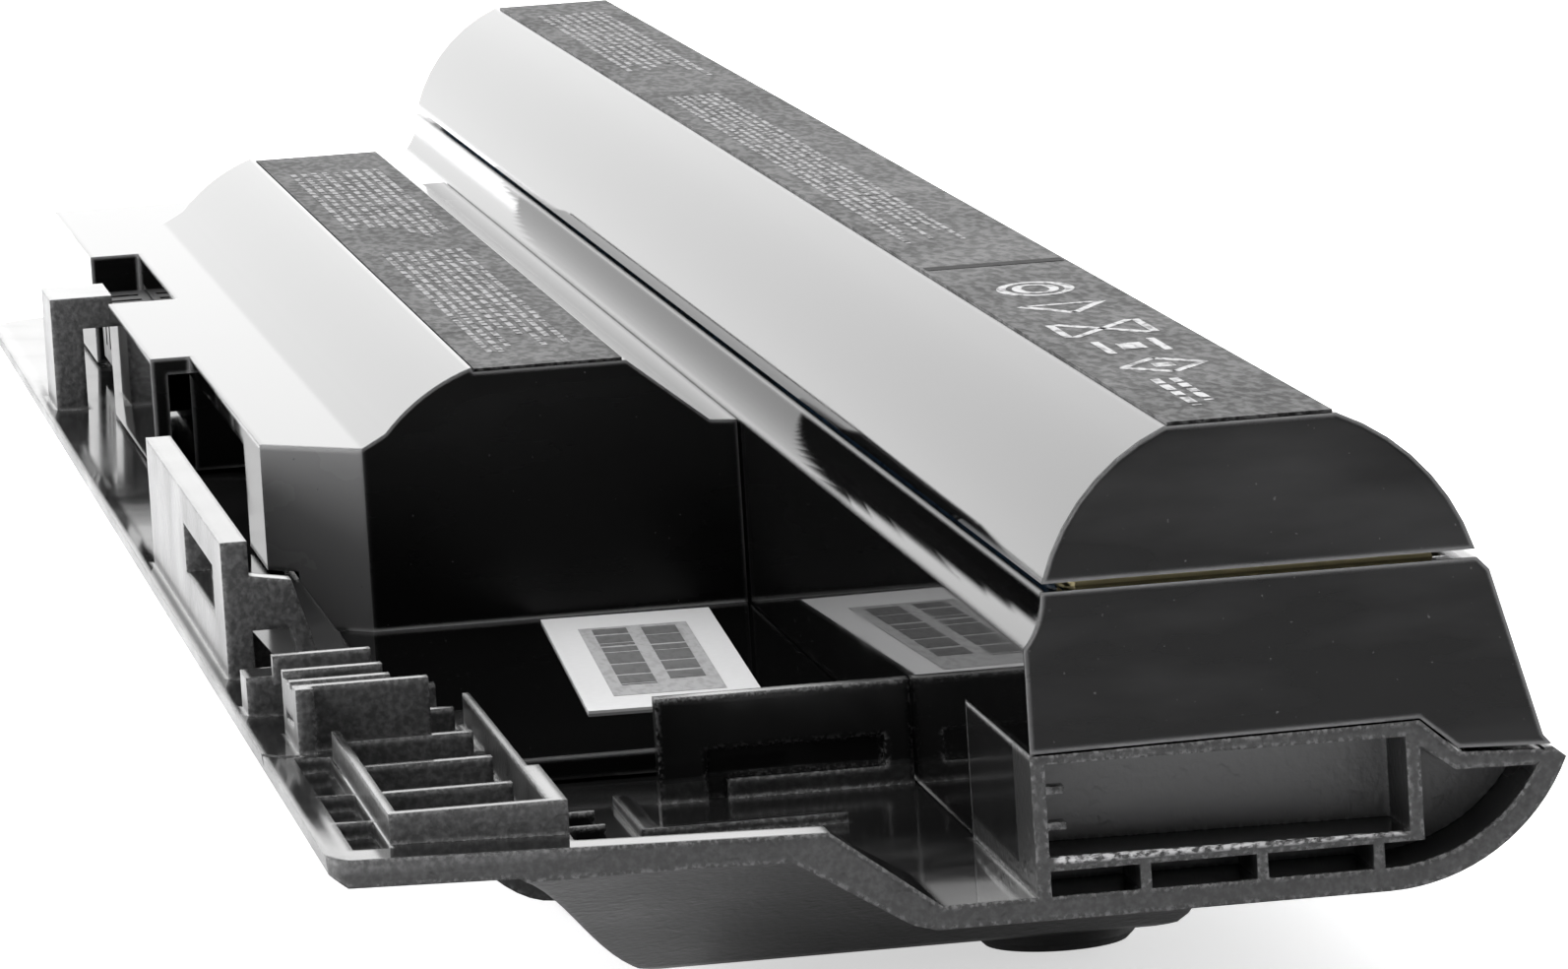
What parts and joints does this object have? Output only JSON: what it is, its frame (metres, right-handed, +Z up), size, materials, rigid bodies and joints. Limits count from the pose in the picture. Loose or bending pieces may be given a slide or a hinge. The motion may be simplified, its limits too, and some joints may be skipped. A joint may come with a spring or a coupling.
{
  "type": "laptop battery",
  "caption": "Laptop battery with two rows of round cells under glossy humps, an open bay at one end, a latch rail, a connector port and a textured base with rubber feet.",
  "frame": {"origin": "centre of the outline on the surface that the feet stand on", "axes": "+X along the pack towards the open bay, +Y to the rear lip, +Z up from the feet"},
  "size_m": [0.2704, 0.0584, 0.0282],
  "materials": {
    "base_plastic": "fine spark-eroded texture",
    "gloss_plastic": "polished",
    "label_film": "fine leather-like grain",
    "sticker_paper": "satin",
    "foot_rubber": "matt",
    "cell_wrap": "shrink film",
    "nickel": "satin",
    "fibre_paper": "matt",
    "board_laminate": "solder mask",
    "chip_resin": "matt",
    "connector_plastic": "satin",
    "contact_metal": "plated",
    "fuse_metal": "satin",
    "red_wire": "satin",
    "black_wire": "satin"
  },
  "bodies": {
    "root": {"base_cover": "base_plastic", "cell_housing": "gloss_plastic", "rear_cover": "gloss_plastic", "front_cover": "gloss_plastic", "rear_cell_1": "cell_wrap", "rear_cell_2": "cell_wrap", "rear_cell_3": "cell_wrap", "rear_cell_4": "cell_wrap", "front_cell_1": "cell_wrap", "front_cell_2": "cell_wrap", "rear_tabs": "nickel", "front_tabs": "nickel", "link_strip": "nickel", "near_insulator": "fibre_paper", "far_insulator": "fibre_paper", "front_insulator": "fibre_paper", "front_far_insulator": "fibre_paper", "protection_board": "board_laminate", "board_parts": "chip_resin", "connector_body": "connector_plastic", "connector_blades": "contact_metal", "thermal_fuse": "fuse_metal", "sense_wires": "red_wire", "power_leads": "black_wire", "rear_label": "label_film", "front_label": "label_film", "bay_sticker": "sticker_paper", "near_foot": "foot_rubber", "far_foot": "foot_rubber"}
  },
  "joints": []
}
